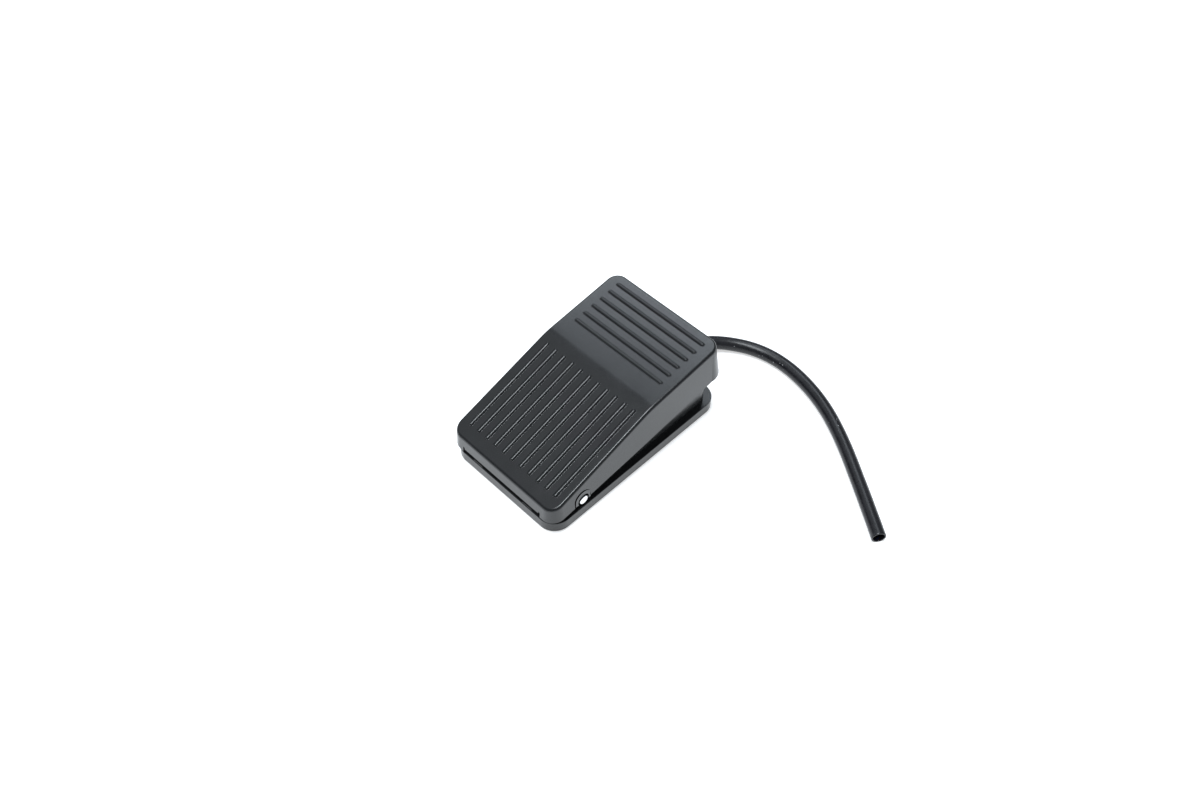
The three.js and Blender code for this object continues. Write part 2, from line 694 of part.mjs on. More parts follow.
place('pedal_cover', pedalCover(), MATERIALS.shell());
place('base_tray', baseTray(), MATERIALS.shell());
place('hinge_pin', hingePin(), MATERIALS.steel());
place('return_spring_left', returnSpring(-1), MATERIALS.springSteel());
place('return_spring_right', returnSpring(1), MATERIALS.springSteel());
place('microswitch_case', microswitchCase(), MATERIALS.phenolic());
place('microswitch_cover', microswitchCover(), MATERIALS.phenolic());
place('microswitch_plunger', microswitchPlunger(), MATERIALS.button());
place('snap_blade', snapBlade(), MATERIALS.brass());
place('switch_screw_front', switchScrew(SWITCH_SCREWS.front), MATERIALS.steel());
place('switch_screw_rear', switchScrew(SWITCH_SCREWS.rear), MATERIALS.steel());
place('cable', freeCable(), MATERIALS.jacket());
place('cable_jacket_inside', cableJacketInside(), MATERIALS.jacket());
place('cable_grommet', cableGrommet(), MATERIALS.rubber());
place('cable_clamp', cableClamp(), MATERIALS.clamp());
place('clamp_screw_left', clampScrew(-1), MATERIALS.steel());
place('clamp_screw_right', clampScrew(1), MATERIALS.steel());

for (const [name, contact] of Object.entries(TERMINALS)) {
  place(`terminal_${name}`, terminal(contact), MATERIALS.brass());
  place(`wire_${name}`, wire(contact), MATERIALS.insulation(contact.colour));
}

for (const [row, sy] of [['front', -1], ['rear', 1]]) {
  for (const [column, sx] of [['left', -1], ['right', 1]]) {
    place(`rubber_foot_${row}_${column}`, rubberFoot(sx, sy), MATERIALS.rubber());
  }
}

export default pedal;
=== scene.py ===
"""Looks of the foot switch pedal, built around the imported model. Lengths in mm unless noted."""

import json
import math

import bmesh
import bpy
from mathutils import Matrix, Vector

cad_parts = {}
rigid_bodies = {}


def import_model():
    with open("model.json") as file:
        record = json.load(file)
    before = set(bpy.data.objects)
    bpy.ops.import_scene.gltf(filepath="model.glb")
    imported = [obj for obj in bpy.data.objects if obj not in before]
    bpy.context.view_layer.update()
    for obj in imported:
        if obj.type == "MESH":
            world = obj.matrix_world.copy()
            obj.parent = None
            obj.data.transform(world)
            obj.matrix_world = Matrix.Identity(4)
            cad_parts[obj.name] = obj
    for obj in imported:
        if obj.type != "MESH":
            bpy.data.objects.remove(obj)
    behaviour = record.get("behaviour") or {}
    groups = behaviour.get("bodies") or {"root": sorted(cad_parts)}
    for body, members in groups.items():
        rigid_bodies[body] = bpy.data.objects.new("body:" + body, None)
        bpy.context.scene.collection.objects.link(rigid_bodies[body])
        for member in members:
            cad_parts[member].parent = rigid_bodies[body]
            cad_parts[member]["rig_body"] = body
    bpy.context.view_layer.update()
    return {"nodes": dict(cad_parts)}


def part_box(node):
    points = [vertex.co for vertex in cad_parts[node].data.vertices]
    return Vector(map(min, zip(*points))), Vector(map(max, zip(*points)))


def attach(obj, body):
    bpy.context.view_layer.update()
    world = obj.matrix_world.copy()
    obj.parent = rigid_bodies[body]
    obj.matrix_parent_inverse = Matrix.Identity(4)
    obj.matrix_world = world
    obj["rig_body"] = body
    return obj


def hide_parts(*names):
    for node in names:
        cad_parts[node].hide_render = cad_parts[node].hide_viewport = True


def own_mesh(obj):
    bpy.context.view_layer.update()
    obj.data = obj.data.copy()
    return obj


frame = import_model()
MM = 0.001

# ---- dimensions, as in the part's source -----------------------------------------------------

# cover: outline, round between top and skirt, flare of the skirt for each mm of drop, thicknesses
HALF_WIDTH, FRONT, REAR, CORNER = 30.2, -48.9, 47.3, 5.5
FILLET, DRAFT, REAR_DRAFT, WALL, TOP = 1.25, 0.068, 0.105, 1.8, 2.2
# the two planes of the top meet at the crease; the skirt's lower edge slopes, with a small chamfer
CREASE_Y, CREASE_Z, LOW_SLOPE, HIGH_SLOPE, BLEND = 5.0, 33.65, 0.336, 0.136, 3.0
SKIRT_Z, SKIRT_SLOPE, LIP = 15.0, 0.152, 0.15
# grip ribs: part of a round bar, sunk in the face, with a small round at its foot
RIB_RADIUS, RIB_SUNK, RIB_FOOT = 1.02, 0.37, 0.05
LONG_RIBS = {"count": 11, "pitch": 4.98, "front": -43.4, "rear": 1.9}
CROSS_RIBS = {"count": 6, "pitch": 4.945, "last": 42.07, "half": 25.0}
# hinge pin, and the ear, window, bore and tongue round each of its ends
PIN_Y, PIN_Z, PIN_RADIUS, PIN_HOLE, PIN_HALF, PIN_ROUND = -32.3, 10.25, 2.1, 2.5, 30.75, 0.45
EAR_WINDOW = {"y": -33.1, "z": 12.4, "radius": 4.25}
EAR = {"y": -32.75, "z": 12.1, "radius": 4.0, "face": 30.7, "bottom": 9.6}
EAR_BORE = {"y": -32.65, "z": 11.1, "radius": 2.9}
TONGUE = {"inner": 28.4, "outer": 29.3, "margin": 0.8, "bottom": 7.0}
# inside the cover: stiffening ribs, spring seats with spigots, and the boss over the switch
STIFFENER = {"x": 10.6, "half": 0.6, "depth": 3.0, "front": -24.0, "rear": 40.0}
SEAT = {"x": 17.0, "y": 24.0, "radius": 5.5, "bottom": 27.0, "spigot": 2.2, "tip": 23.5}
BOSS = {"y": -5.5, "radius": 2.5, "bottom": 25.5}
POST_ROUND = 0.35   # rounds the edges of the seats, spigots and boss
RELIEF = {"half": 22.9, "lift": 1.9, "slit": 0.9, "slit_height": 1.0}
PAST = 1.0          # how far a shape runs past a face that it joins or cuts
OUTSIDE = 40.0      # an x well outside the cover
FOOT_ROUND = 0.5    # rounds the edges of the rubber feet
SPRING = {"mean": 4.1, "wire": 0.45, "turns": 6.5, "low": 9.75, "high": 26.25, "seat": 9.3, "keep": 0.69}
CABLE_RADIUS = 3.05
CABLE_END = {"round": 0.22, "inner": 2.45, "chamfer": 0.15, "chamfer_depth": 0.12, "depth": 4.6}
CORE = {"radius": 0.92, "length": 2.6, "hole": 0.4, "hole_depth": 0.25, "round": 0.12, "back": 2.4,
        "offset": 1.15, "first_angle": 80}
CABLE_ROUTE = [
    (0, 46.3, 7.2), (0, 50, 7.1), (0.2, 54.5, 6.75), (1.4, 59.5, 6.1), (3.6, 64.5, 5.3),
    (6.6, 69.4, 4.5), (10.4, 73.8, 3.8), (15, 77.6, 3.3), (20.5, 80.8, 3.1), (27, 83.1, 3.05),
    (34, 84.2, 3.05), (41, 84.2, 3.05), (48, 83.3, 3.05), (55, 81.7, 3.05), (62, 79.4, 3.05),
    (69, 76.4, 3.05), (76, 72.7, 3.05), (83, 68.5, 3.05), (90, 63.9, 3.05), (97, 59, 3.05),
    (104, 54.1, 3.05), (111, 49.1, 3.05), (117, 44.8, 3.05), (121.9, 41.2, 3.05),
]
SIDES = (-1, 1)
NEAR = 1e-4         # points closer than this are the same place
CLOSEST = 0.03      # two lines of the top's grid are never closer than this


def new_object(name, mesh):
    piece = bpy.data.objects.new(name, mesh)
    bpy.context.scene.collection.objects.link(piece)
    return piece


def mesh_from(name, points, faces):
    """A mesh from points in mm."""
    mesh = bpy.data.meshes.new(name)
    mesh.from_pydata([tuple(c * MM for c in p) for p in points], [], faces)
    mesh.update()
    return mesh


# ---- camera ----------------------------------------------------------------------------------

# fitted to the photo; target, distance, lens and sensor in mm, angles in degrees
CAMERA = {"target": (-6.40, 13.69, 0.6), "distance": 511.26, "azimuth": 44.61, "elevation": 51.14,
          "roll": 0.55, "lens": 35.34, "sensor": 36}


def make_camera():
    azimuth, elevation, roll = (math.radians(CAMERA[k]) for k in ("azimuth", "elevation", "roll"))
    back = Vector((math.sin(azimuth) * math.cos(elevation),
                   -math.cos(azimuth) * math.cos(elevation), math.sin(elevation)))
    flat = Vector((math.cos(azimuth), math.sin(azimuth), 0))
    rise = back.cross(flat)
    right = flat * math.cos(roll) + rise * math.sin(roll)
    up = rise * math.cos(roll) - flat * math.sin(roll)
    data = bpy.data.cameras.new("camera")
    data.lens, data.sensor_width = CAMERA["lens"], CAMERA["sensor"]
    camera = bpy.data.objects.new("camera", data)
    place = (Vector(CAMERA["target"]) + back * CAMERA["distance"]) * MM
    camera.matrix_world = Matrix.Translation(place) @ Matrix((right, up, back)).transposed().to_4x4()
    bpy.context.scene.collection.objects.link(camera)
    bpy.context.scene.camera = camera


make_camera()


# ---- materials -------------------------------------------------------------------------------

class Nodes:
    """Short calls for building a material's node tree."""

    def __init__(self, name):
        self.material = bpy.data.materials.new(name)
        self.material.use_nodes = True
        self.tree = self.material.node_tree
        self.shader = self.tree.nodes["Principled BSDF"]

    def add(self, kind, inputs=None, **settings):
        node = self.tree.nodes.new(kind)
        for key, value in settings.items():
            setattr(node, key, value)
        for key, value in (inputs or {}).items():
            self.set(node, key, value)
        return node

    def set(self, node, key, value):
        if isinstance(value, bpy.types.NodeSocket):
            self.tree.links.new(value, node.inputs[key])
        else:
            node.inputs[key].default_value = value

    def coordinates(self, scale=(1, 1, 1), space="Object"):
        source = self.add("ShaderNodeTexCoord")
        mapping = self.add("ShaderNodeMapping", {"Vector": source.outputs[space], "Scale": scale})
        return mapping.outputs["Vector"]

    def noise(self, vector, scale, detail=2.0, roughness=0.5):
        node = self.add("ShaderNodeTexNoise", {"Vector": vector, "Scale": scale, "Detail": detail,
                                               "Roughness": roughness})
        return node.outputs["Fac"]

    def remap(self, value, low, high, to_low, to_high):
        node = self.add("ShaderNodeMapRange", {"Value": value, "From Min": low, "From Max": high,
                                               "To Min": to_low, "To Max": to_high})
        return node.outputs["Result"]

    def math(self, operation, a, b):
        node = self.add("ShaderNodeMath", {0: a, 1: b}, operation=operation)
        return node.outputs["Value"]

    def mix(self, factor, a, b):
        node = self.add("ShaderNodeMix", {"Factor": factor, "A": a, "B": b}, data_type="RGBA")
        return node.outputs[2]

    def bump(self, height, strength, distance, under=None):
        inputs = {"Height": height, "Strength": strength, "Distance": distance}
        if under is not None:
            inputs["Normal"] = under
        return self.add("ShaderNodeBump", inputs).outputs["Normal"]

    def specks(self, vector, scale, size, share):
        """1 inside small round specks; size is a share of a cell, share the part of cells with one."""
        cells = self.add("ShaderNodeTexVoronoi", {"Vector": vector, "Scale": scale})
        soft_from = size * 0.6
        near = self.remap(cells.outputs["Distance"], soft_from, size, 1, 0)
        chance = self.add("ShaderNodeSeparateColor", {"Color": cells.outputs["Color"]}).outputs["Red"]
        return self.math("MULTIPLY", near, self.math("LESS_THAN", chance, share))


# In the looks below, a scale is features for each metre, except along the cable's lines, and a bump's
# distance is in metres.

def plastic(name, dark, light, roughness, specks=0.05, level=0.5):
    """Moulded plastic: a fine spark-eroded grain, faint mottling and a few dust specks."""
    dust_colour = (0.35, 0.35, 0.34, 1)
    uneven = 0.03
    n = Nodes(name)
    at = n.coordinates()
    mottle = n.noise(at, scale=160, detail=4, roughness=0.6)
    fine = n.noise(at, scale=2600, detail=2)
    colour = n.mix(n.remap(mottle, 0.35, 0.65, 0, 1), dark, light)
    dust = n.specks(at, scale=150, size=0.035, share=specks)
    n.set(n.shader, "Base Color", n.mix(dust, colour, dust_colour))
    wear = n.noise(at, scale=90, detail=5, roughness=0.65)
    n.set(n.shader, "Roughness", n.remap(wear, 0.3, 0.7, roughness - uneven, roughness + uneven))
    n.set(n.shader, "Normal", n.bump(fine, strength=0.15, distance=0.000012))
    n.shader.inputs["Specular IOR Level"].default_value = level
    return n.material


def steel(name, colour, roughness):
    """Bare metal with fine darker and duller clouds."""
    n = Nodes(name)
    clouds = n.noise(n.coordinates(), scale=900, detail=3, roughness=0.6)
    darker = tuple(c * 0.86 for c in colour[:3]) + (1,)
    n.shader.inputs["Metallic"].default_value = 1.0
    n.set(n.shader, "Base Color", n.mix(clouds, colour, darker))
    n.set(n.shader, "Roughness", n.remap(clouds, 0.3, 0.7, roughness - 0.05, roughness + 0.08))
    n.set(n.shader, "Normal", n.bump(clouds, strength=0.3, distance=0.00001))
    return n.material


def cable_jacket(name):
    """Extruded PVC: soft sheen, faint lines along the cable, patches of chalky specks."""
    dark, light = (0.0078, 0.0077, 0.0094, 1), (0.014, 0.0138, 0.0165, 1)
    chalk = (0.5, 0.5, 0.51, 1)
    n = Nodes(name)
    lines = n.noise(n.coordinates((60, 0.6, 1), "UV"), scale=1.0, detail=3, roughness=0.6)
    at = n.coordinates()
    bloom = n.noise(at, scale=260, detail=5, roughness=0.7)
    base = n.mix(n.remap(bloom, 0.35, 0.7, 0, 1), dark, light)
    patches = n.remap(n.noise(at, scale=45, detail=2), 0.5, 0.58, 0, 1)
    dust = n.math("MULTIPLY", n.specks(at, scale=1400, size=0.3, share=0.09), patches)
    n.set(n.shader, "Base Color", n.mix(dust, base, chalk))
    n.set(n.shader, "Roughness", n.remap(bloom, 0.3, 0.7, 0.22, 0.34))
    n.shader.inputs["Specular IOR Level"].default_value = 0.32
    drawn = n.bump(lines, strength=0.35, distance=0.00004)
    grain = n.noise(at, scale=1800, detail=2)
    n.set(n.shader, "Normal", n.bump(grain, strength=0.4, distance=0.00001, under=drawn))
    return n.material


def rubber(name):
    """Dull black rubber with a dusty bloom."""
    dark, light = (0.012, 0.012, 0.012, 1), (0.028, 0.028, 0.027, 1)
    n = Nodes(name)
    at = n.coordinates()
    cloud = n.noise(at, scale=300, detail=4, roughness=0.6)
    n.set(n.shader, "Base Color", n.mix(cloud, dark, light))
    n.set(n.shader, "Roughness", n.remap(cloud, 0.3, 0.7, 0.7, 0.9))
    grain = n.noise(at, scale=2200, detail=3)
    n.set(n.shader, "Normal", n.bump(grain, strength=0.5, distance=0.00002))
    return n.material


COVER = plastic("cover_abs", (0.0058, 0.0063, 0.007, 1), (0.0078, 0.0084, 0.0092, 1), 0.22)
BASE = plastic("base_abs", (0.015, 0.0154, 0.016, 1), (0.02, 0.0205, 0.021, 1), 0.24, level=0.36)
STEEL = steel("bright_steel", (0.86, 0.86, 0.87, 1), 0.22)
SPRING_STEEL = steel("spring_wire", (0.5, 0.5, 0.52, 1), 0.25)
BUTTON = plastic("red_button", (0.42, 0.035, 0.025, 1), (0.5, 0.05, 0.035, 1), 0.3, specks=0)
PHENOLIC = plastic("phenolic", (0.05, 0.042, 0.036, 1), (0.075, 0.062, 0.052, 1), 0.45, specks=0)
BRASS = steel("tinned_brass", (0.78, 0.6, 0.3, 1), 0.25)
JACKET = cable_jacket("pvc_jacket")
NYLON = plastic("black_nylon", (0.016, 0.016, 0.016, 1), (0.024, 0.024, 0.024, 1), 0.42, specks=0)
RUBBER = rubber("black_rubber")
WIRE_BLACK = plastic("wire_black", (0.018, 0.018, 0.018, 1), (0.03, 0.03, 0.03, 1), 0.4, specks=0)
WIRE_BLUE = plastic("wire_blue", (0.02, 0.06, 0.3, 1), (0.03, 0.08, 0.36, 1), 0.4, specks=0)
WIRE_BROWN = plastic("wire_brown", (0.13, 0.05, 0.02, 1), (0.18, 0.07, 0.03, 1), 0.4, specks=0)


# ---- mesh helpers ----------------------------------------------------------------------------

def use(piece, material):
    piece.data.materials.clear()
    piece.data.materials.append(material)


def shade(piece, angle=35):
    """Smooth shading that breaks at edges sharper than angle, in degrees."""
    piece.data.shade_smooth()
    piece.data.set_sharp_from_angle(angle=math.radians(angle))
    modifier = piece.modifiers.new("normals", "WEIGHTED_NORMAL")
    modifier.keep_sharp = True


def apply_modifiers(piece):
    graph = bpy.context.evaluated_depsgraph_get()
    piece.data = bpy.data.meshes.new_from_object(piece.evaluated_get(graph))
    piece.modifiers.clear()


def combine(piece, operation, shapes):
    """Cuts or joins closed shapes into a piece, for good."""
    for shape in shapes:
        modifier = piece.modifiers.new("combine", "BOOLEAN")
        modifier.operation, modifier.object, modifier.solver = operation, shape, "MANIFOLD"
    apply_modifiers(piece)
    for shape in shapes:
        bpy.data.objects.remove(shape)


def prism(outline, low, high, axis):
    """A closed prism over an outline, running along x (the outline is y, z) or z (it is x, y)."""
    count = len(outline)
    if axis == "x":
        points = [(t, a, b) for t in (low, high) for a, b in outline]
    else:
        points = [(a, b, t) for t in (low, high) for a, b in outline]
    faces = [list(range(count))[::-1], list(range(count, 2 * count))]
    faces += [[i, (i + 1) % count, count + (i + 1) % count, count + i] for i in range(count)]
    mesh = mesh_from("prism", points, faces)
    work = bmesh.new()
    work.from_mesh(mesh)
    bmesh.ops.recalc_face_normals(work, faces=work.faces)
    work.to_mesh(mesh)
    work.free()
    return new_object("prism", mesh)


def box(low, high):
    """A box between two opposite corners."""
    outline = [(low[0], low[1]), (high[0], low[1]), (high[0], high[1]), (low[0], high[1])]
    return prism(outline, low[2], high[2], "z")


def circle(centre, radius, sides=64):
    """Points round a circle."""
    angles = [2 * math.pi * i / sides for i in range(sides)]
    return [(centre[0] + radius * math.cos(a), centre[1] + radius * math.sin(a)) for a in angles]


def lathe(name, profile, sides=64):
    """A closed solid turned about Z from (radius, height) points; the first and last are on the axis."""
    points, faces = [], []
    inner = profile[1:-1]
    for radius, height in inner:
        points += [(radius * math.cos(2 * math.pi * i / sides),
                    radius * math.sin(2 * math.pi * i / sides), height) for i in range(sides)]
    ends = [len(points), len(points) + 1]
    points += [(0, 0, profile[0][1]), (0, 0, profile[-1][1])]
    for level in range(len(inner) - 1):
        a, b = level * sides, (level + 1) * sides
        faces += [[a + i, a + (i + 1) % sides, b + (i + 1) % sides, b + i] for i in range(sides)]
    last = (len(inner) - 1) * sides
    faces += [[ends[0], (i + 1) % sides, i] for i in range(sides)]
    faces += [[ends[1], last + i, last + (i + 1) % sides] for i in range(sides)]
    return mesh_from(name, points, faces)


def rounded_profile(points, radius, steps=5):
    """Rounds the inner corners of a profile, each over less than half of the edges beside it."""
    most = 0.45
    made = [points[0]]
    for before, corner, after in zip(points, points[1:], points[2:]):
        b, c, a = Vector(before), Vector(corner), Vector(after)
        reach = min(radius, (b - c).length * most, (a - c).length * most)
        start, end = c + (b - c).normalized() * reach, c + (a - c).normalized() * reach
        for i in range(steps + 1):
            t = i / steps
            made.append(tuple(start * (1 - t) ** 2 + c * 2 * t * (1 - t) + end * t * t))
    made.append(points[-1])
    return made


# ---- cover -----------------------------------------------------------------------------------

def top_height(y):
    """Height of the top face without its ribs: two planes and a parabola between them."""
    t = y - CREASE_Y
    if abs(t) >= BLEND:
        return CREASE_Z + t * (LOW_SLOPE if t < 0 else HIGH_SLOPE)
    bend = (HIGH_SLOPE - LOW_SLOPE) / (4 * BLEND)
    return CREASE_Z + t * (LOW_SLOPE + HIGH_SLOPE) / 2 + bend * (t * t + BLEND * BLEND)


def top_slope(y):
    """Slope of the top face along y."""
    t = max(-BLEND, min(BLEND, y - CREASE_Y))
    return LOW_SLOPE + (HIGH_SLOPE - LOW_SLOPE) * (t + BLEND) / (2 * BLEND)


def skirt_edge(y):
    """Height of the skirt's lower edge."""
    return SKIRT_Z + SKIRT_SLOPE * y


# distances from a rib's middle line at which the top's grid has a line, closer towards its foot
RIB_STEPS = [0, 0.2, 0.4, 0.57, 0.71, 0.82, 0.895, 0.95, 1.0, 1.1]


def long_rib_centres():
    return [(i - (LONG_RIBS["count"] - 1) / 2) * LONG_RIBS["pitch"] for i in range(LONG_RIBS["count"])]


def cross_rib_centres():
    return [CROSS_RIBS["last"] - i * CROSS_RIBS["pitch"] for i in range(CROSS_RIBS["count"])]


def rib_height(x, y):
    """How far a rib stands proud of the top face at a point."""
    if y < CREASE_Y:
        lean = math.cos(math.atan(LOW_SLOPE))
        across = min(abs(x - c) for c in long_rib_centres())
        front = LONG_RIBS["front"] + RIB_RADIUS * lean
        rear = LONG_RIBS["rear"] - RIB_RADIUS * lean
        beyond = max(front - y, y - rear, 0) / lean
    else:
        lean = math.cos(math.atan(HIGH_SLOPE))
        across = min(abs(y - c) for c in cross_rib_centres()) / lean
        beyond = max(abs(x) - CROSS_RIBS["half"] + RIB_RADIUS, 0)
    distance = math.hypot(across, beyond)
    if distance >= RIB_RADIUS + 2 * RIB_FOOT:
        return 0.0
    # above the face this is the round bar; near it and below it, a curve that flattens out
    round_part = math.sqrt(max(RIB_RADIUS ** 2 - distance ** 2, 0)) - RIB_SUNK * lean
    return (round_part + math.hypot(round_part, RIB_FOOT)) / 2 - RIB_FOOT ** 2 / 4


def spread(lines, low, high, widest):
    """Sorted lines between two bounds, without near copies, and with wide gaps filled."""
    made = [low]
    for line in sorted(lines) + [high]:
        if line <= made[-1] + CLOSEST or line > high:
            continue
        gap = line - made[-1]
        pieces = max(1, math.ceil(gap / widest))
        start = made[-1]
        made += [start + gap * (i + 1) / pieces for i in range(pieces)]
    made[-1] = high
    return made


def grid_lines():
    """The x and y of the top's grid lines, fine across the ribs, at their ends and at the crease."""
    widest_x, widest_y, crease_steps = 3, 4, 10
    steps = sorted({s * k for s in RIB_STEPS for k in SIDES})
    half = HALF_WIDTH - FILLET
    x_lines = [c + s for c in long_rib_centres() for s in steps]
    tip = CROSS_RIBS["half"] - RIB_RADIUS
    x_lines += [k * (tip + s) for k in SIDES for s in RIB_STEPS]
    low, high = (math.cos(math.atan(s)) for s in (LOW_SLOPE, HIGH_SLOPE))
    y_lines = [c + s * high for c in cross_rib_centres() for s in steps]
    y_lines += [LONG_RIBS["front"] + (RIB_RADIUS - s) * low for s in RIB_STEPS]
    y_lines += [LONG_RIBS["rear"] - (RIB_RADIUS - s) * low for s in RIB_STEPS]
    y_lines += [CREASE_Y + BLEND * (i * 2 / crease_steps - 1) for i in range(crease_steps + 1)]
    xs = spread([x for x in x_lines if x > CLOSEST], 0, half, widest_x)
    xs = [-x for x in reversed(xs[1:])] + xs
    return xs, spread(y_lines, FRONT + FILLET, REAR - FILLET, widest_y)


def flat_outline(xs, ys):
    """The top face's rim, anticlockwise from the front: points with their outward directions."""
    half, radius = HALF_WIDTH - FILLET, CORNER - FILLET
    front, rear = FRONT + FILLET, REAR - FILLET
    corner_steps = 14
    found = {}

    def put(x, y, out):
        found.setdefault((round(x, 5), round(y, 5)), (Vector((x, y)), Vector(out)))

    centre_x = half - radius
    for sign, centre_y in ((-1, front + radius), (1, rear - radius)):
        for side in SIDES:
            angles = [math.pi / 2 * i / corner_steps for i in range(corner_steps + 1)]
            across = [abs(x) - centre_x for x in xs]
            angles += [math.acos(r / radius) for r in across if 0 < r < half - centre_x]
            along = [(y - centre_y) * sign for y in ys]
            angles += [math.asin(r / radius) for r in along if 0 < r < radius]
            for a in angles:
                out = (side * math.cos(a), sign * math.sin(a))
                put(side * centre_x + radius * out[0], centre_y + radius * out[1], out)
    for x in xs:
        if abs(x) < centre_x:
            put(x, front, (0, -1))
            put(x, rear, (0, 1))
    for y in ys:
        if front + radius < y < rear - radius:
            put(-half, y, (-1, 0))
            put(half, y, (1, 0))
    middle = (front + rear) / 2
    # the rim is convex, so the angle round its middle puts the points in order
    return sorted(found.values(), key=lambda p: math.atan2(p[0].y - middle, p[0].x))


def inside_rim(x, y):
    """Whether a point lies inside the top face's rounded outline."""
    half, radius = HALF_WIDTH - FILLET, CORNER - FILLET
    dx = max(abs(x) - (half - radius), 0)
    dy = max(FRONT + FILLET + radius - y, y - (REAR - FILLET - radius), 0)
    return math.hypot(dx, dy) < radius - NEAR


def cover_ring(rim, inset, height):
    """The cover's outline moved inwards by inset(y, out), at the heights that height(y) gives."""
    ring = []
    for at, out in rim:
        moved = at + out * (FILLET - inset(at.y, out))
        ring.append((moved.x, moved.y, height(moved.y)))
    return ring


# rings down the skirt; the first and last lie close to its edges, so that its shading stays even
SKIRT_SHARES = (0.04, 0.35, 0.65, 0.96)


def cover_rings(rim):
    """Rings over the fillet, down the skirt, round its lower edge and up inside to the ceiling."""
    def skirt_top(y):
        return top_height(y) - FILLET

    def flare(y, out):
        return (DRAFT + REAR_DRAFT * max(out.y, 0)) * (skirt_top(y) - skirt_edge(y))

    rings, fillet_steps = [], 10
    for i in range(1, fillet_steps + 1):
        angle = math.pi / 2 * (1 - i / fillet_steps)
        inset, drop = FILLET * (1 - math.cos(angle)), FILLET * (1 - math.sin(angle))
        rings.append(cover_ring(rim, lambda y, out, v=inset: v, lambda y, v=drop: top_height(y) - v))
    for share in SKIRT_SHARES:
        rings.append(cover_ring(rim, lambda y, out, s=share: -flare(y, out) * s,
                                lambda y, s=share: skirt_top(y) * (1 - s) + skirt_edge(y) * s))
    for inset, lift in ((0, LIP), (LIP, 0), (WALL - LIP, 0), (WALL, LIP)):
        rings.append(cover_ring(rim, lambda y, out, v=inset: v - flare(y, out),
                                lambda y, v=lift: skirt_edge(y) + v))
    rings.append(cover_ring(rim, lambda y, out: WALL, lambda y: top_height(y) - TOP))
    return rings


def top_faces(xs, ys, rim, number):
    """Faces of the top: whole cells inside the rim, and cells clipped by it."""
    least_area = 1e-6
    faces = []
    for x, next_x in zip(xs, xs[1:]):
        for y, next_y in zip(ys, ys[1:]):
            corners = [(x, y), (next_x, y), (next_x, next_y), (x, next_y)]
            kept = [c for c in corners if inside_rim(*c)]
            if len(kept) == 4:
                faces.append([number(c) for c in corners])
                continue
            kept += [tuple(at) for at, _ in rim
                     if x - NEAR <= at.x <= next_x + NEAR and y - NEAR <= at.y <= next_y + NEAR]
            if len(kept) < 3:
                continue
            mx, my = (sum(c[k] for c in kept) / len(kept) for k in (0, 1))
            kept.sort(key=lambda c: math.atan2(c[1] - my, c[0] - mx))
            area = sum(a[0] * b[1] - a[1] * b[0] for a, b in zip(kept, kept[1:] + kept[:1]))
            if area > least_area:
                faces.append([number(c) for c in kept])
    return faces


def from_break(numbers):
    """Consecutive numbers with one break in them, turned so that they start after the break."""
    shift = next((k for k in range(len(numbers)) if numbers[k] != numbers[k - 1] + 1), 0)
    return numbers[shift:] + numbers[:shift]


def ceiling_faces(ring, first):
    """Closes the inside: a flat part before the crease, strips through its blend, a flat part after."""
    reach, slack = 0.05, 1e-3
    low = max(p[1] for p in ring if p[1] <= CREASE_Y - BLEND + reach) - slack
    high = min(p[1] for p in ring if p[1] >= CREASE_Y + BLEND - reach) + slack
    index = range(len(ring))
    front = from_break([first + i for i in index if ring[i][1] <= low + 2 * slack])
    rear = from_break([first + i for i in index if ring[i][1] >= high - 2 * slack])
    right = [first + i for i in index if ring[i][0] > 0 and low <= ring[i][1] <= high]
    left = [first + i for i in index if ring[i][0] < 0 and low <= ring[i][1] <= high][::-1]
    faces = [[right[k], left[k], left[k + 1], right[k + 1]] for k in range(len(right) - 1)]
    return faces + [front[::-1], rear[::-1]]


def cover_shell():
    """The cover's thin shell with its grip ribs, as one closed mesh."""
    xs, ys = grid_lines()
    rim = flat_outline(xs, ys)
    points, numbers = [], {}

    def number(corner):
        key = (round(corner[0], 5), round(corner[1], 5))
        if key not in numbers:
            x, y = corner
            slope = top_slope(y)
            proud = rib_height(x, y) / math.hypot(1, slope)
            numbers[key] = len(points)
            points.append((x, y - slope * proud, top_height(y) + proud))
        return numbers[key]

    previous = [number(tuple(at)) for at, _ in rim]
    faces = top_faces(xs, ys, rim, number)
    count = len(rim)
    for ring in cover_rings(rim):
        current = [len(points) + i for i in range(count)]
        points += ring
        faces += [[previous[i], current[i], current[(i + 1) % count], previous[(i + 1) % count]]
                  for i in range(count)]
        previous = current
    faces += ceiling_faces(ring, previous[0])
    return mesh_from("pedal_cover_detailed", points, faces)


def arch(centre, radius, bottom):
    """The outline (y, z) of an upright arch with straight sides below its centre."""
    y, z, steps = centre["y"], centre["z"], 40
    angles = [math.pi * i / steps for i in range(steps + 1)]
    curve = [(y + radius * math.cos(a), z + radius * math.sin(a)) for a in angles]
    return [(y - radius, bottom), (y + radius, bottom)] + curve


def through_skirt(outline):
    """Two prisms from the tongues' outer faces outwards, one on each side."""
    spans = ((-OUTSIDE, -TONGUE["outer"]), (TONGUE["outer"], OUTSIDE))
    return [prism(outline, low, high, "x") for low, high in spans]


